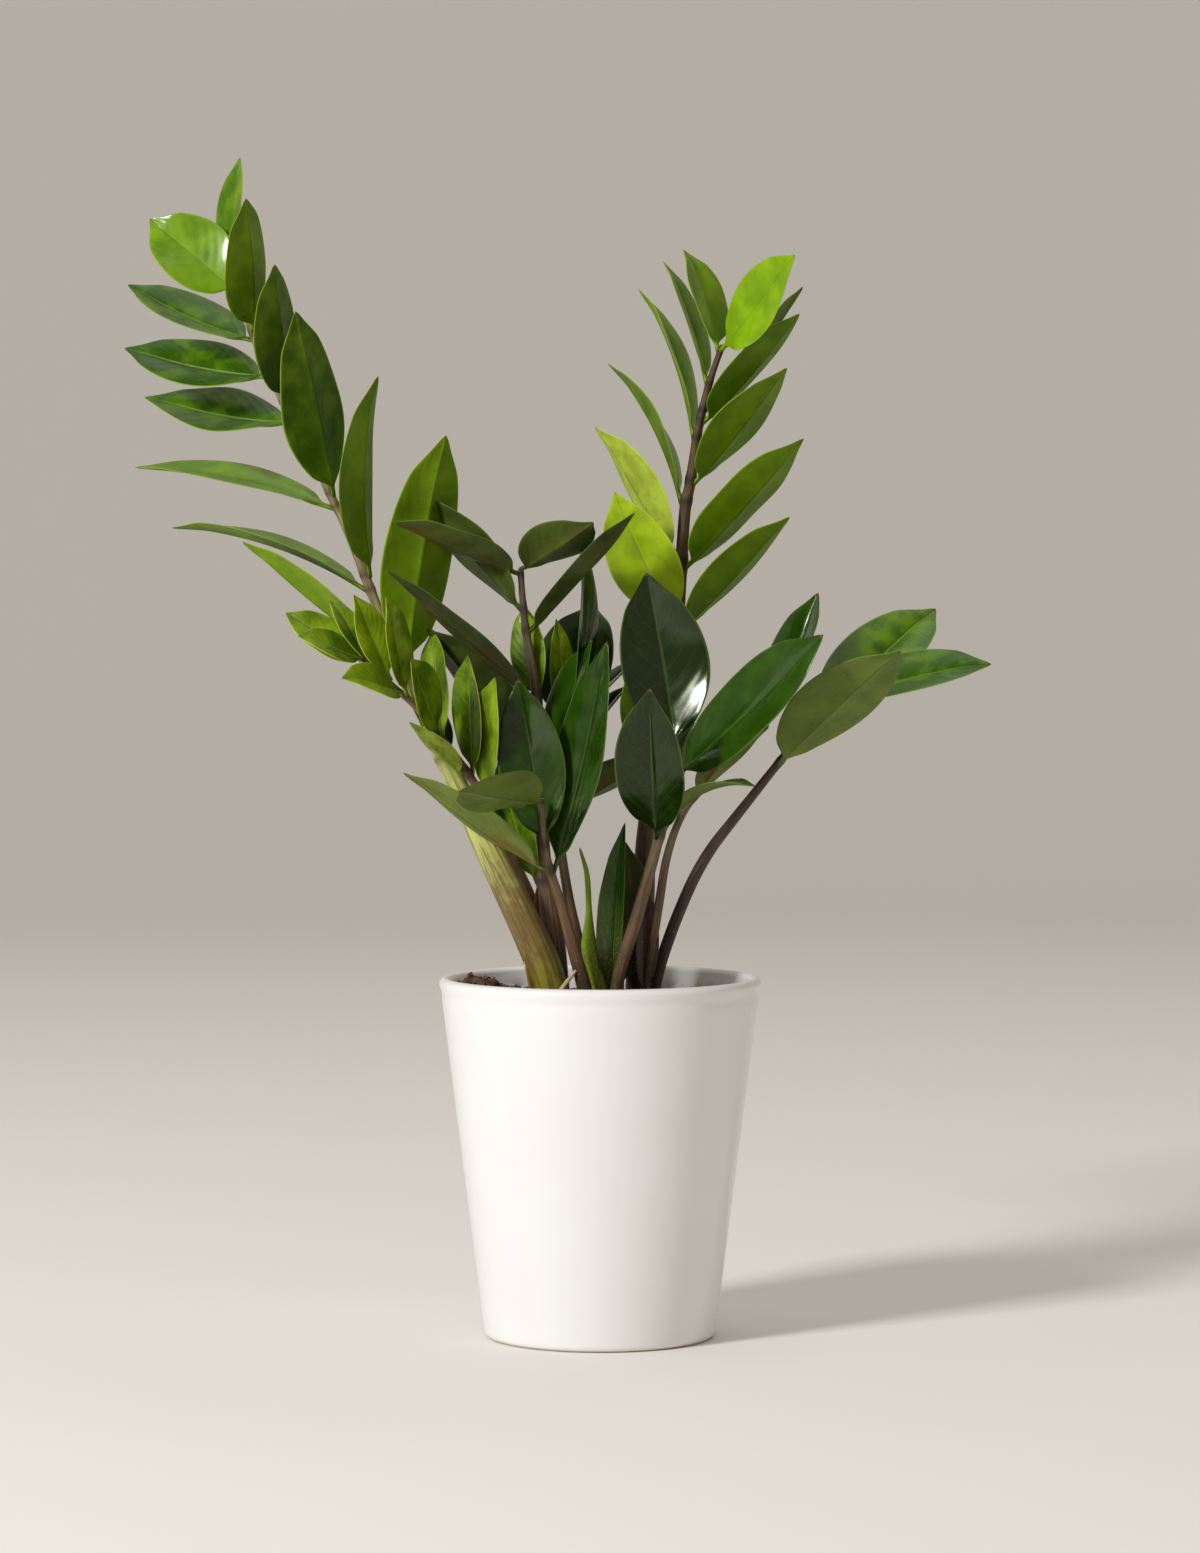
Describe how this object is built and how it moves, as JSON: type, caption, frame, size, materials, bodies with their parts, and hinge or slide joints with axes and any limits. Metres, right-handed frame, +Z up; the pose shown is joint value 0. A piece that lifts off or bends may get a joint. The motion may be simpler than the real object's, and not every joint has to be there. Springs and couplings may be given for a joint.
{
  "type": "potted zz plant",
  "caption": "Potted ZZ plant: upright leafy fronds growing from dark potting mix in a plain white glazed tapered pot.",
  "frame": {"origin": "centre of the pot's flat underside, on the surface that it stands on", "axes": "+Z up out of the pot, -Y towards the front view, +X to the right in that view"},
  "size_m": [0.361, 0.157, 0.492],
  "materials": {
    "white_glaze": "smooth glossy glaze",
    "potting_mix": "coarse dark brown bark and peat",
    "green_stalk": "pale yellow-green with brown streaks, satin",
    "pinkish_stalk": "pinkish brown, satin",
    "dark_stalk": "dark brown-purple, satin",
    "grey_brown_stalk": "grey-brown with dark streaks, satin",
    "young_leaf": "bright yellow-green, glossy above and matte below",
    "green_leaf": "fresh green, glossy above and matte below",
    "deep_green_leaf": "deep green, very glossy above and matte olive below"
  },
  "bodies": {
    "root": {"pot": "white_glaze", "potting_mix": "potting_mix", "left_frond_stalk": "green_stalk", "left_frond_leaf_01": "green_leaf", "left_frond_leaf_02": "green_leaf", "left_frond_leaf_03": "green_leaf", "left_frond_leaf_04": "green_leaf", "left_frond_leaf_05": "green_leaf", "left_frond_leaf_06": "green_leaf", "left_frond_leaf_07": "green_leaf", "left_frond_leaf_08": "green_leaf", "left_frond_leaf_09": "green_leaf", "left_frond_leaf_10": "green_leaf", "left_frond_leaf_11": "green_leaf", "left_frond_leaf_12": "green_leaf", "left_frond_leaf_13": "green_leaf", "arching_frond_stalk": "pinkish_stalk", "arching_frond_leaf_01": "young_leaf", "arching_frond_leaf_02": "young_leaf", "arching_frond_leaf_03": "young_leaf", "arching_frond_leaf_04": "young_leaf", "arching_frond_leaf_05": "young_leaf", "arching_frond_leaf_06": "young_leaf", "right_frond_stalk": "dark_stalk", "right_frond_leaf_01": "green_leaf", "right_frond_leaf_02": "green_leaf", "right_frond_leaf_03": "green_leaf", "right_frond_leaf_04": "green_leaf", "right_frond_leaf_05": "green_leaf", "right_frond_leaf_06": "green_leaf", "right_frond_leaf_07": "green_leaf", "right_frond_leaf_08": "green_leaf", "right_frond_leaf_09": "young_leaf", "right_frond_leaf_10": "young_leaf", "middle_frond_stalk": "grey_brown_stalk", "middle_frond_leaf_01": "deep_green_leaf", "middle_frond_leaf_02": "deep_green_leaf", "middle_frond_leaf_03": "deep_green_leaf", "middle_frond_leaf_04": "deep_green_leaf", "front_frond_stalk": "grey_brown_stalk", "front_frond_leaf_01": "deep_green_leaf", "front_frond_leaf_02": "deep_green_leaf", "front_frond_leaf_03": "deep_green_leaf", "front_frond_leaf_04": "deep_green_leaf", "inner_frond_stalk": "grey_brown_stalk", "inner_frond_leaf_01": "deep_green_leaf", "inner_frond_leaf_02": "deep_green_leaf", "inner_frond_leaf_03": "deep_green_leaf", "broad_frond_stalk": "grey_brown_stalk", "broad_frond_leaf_01": "deep_green_leaf", "broad_frond_leaf_02": "deep_green_leaf", "broad_frond_leaf_03": "deep_green_leaf", "broad_frond_leaf_04": "deep_green_leaf", "rear_frond_stalk": "grey_brown_stalk", "rear_frond_leaf_01": "deep_green_leaf", "rear_frond_leaf_02": "deep_green_leaf", "outer_frond_stalk": "dark_stalk", "outer_frond_leaf_01": "deep_green_leaf", "outer_frond_leaf_02": "green_leaf", "outer_frond_leaf_03": "green_leaf"}
  },
  "joints": []
}
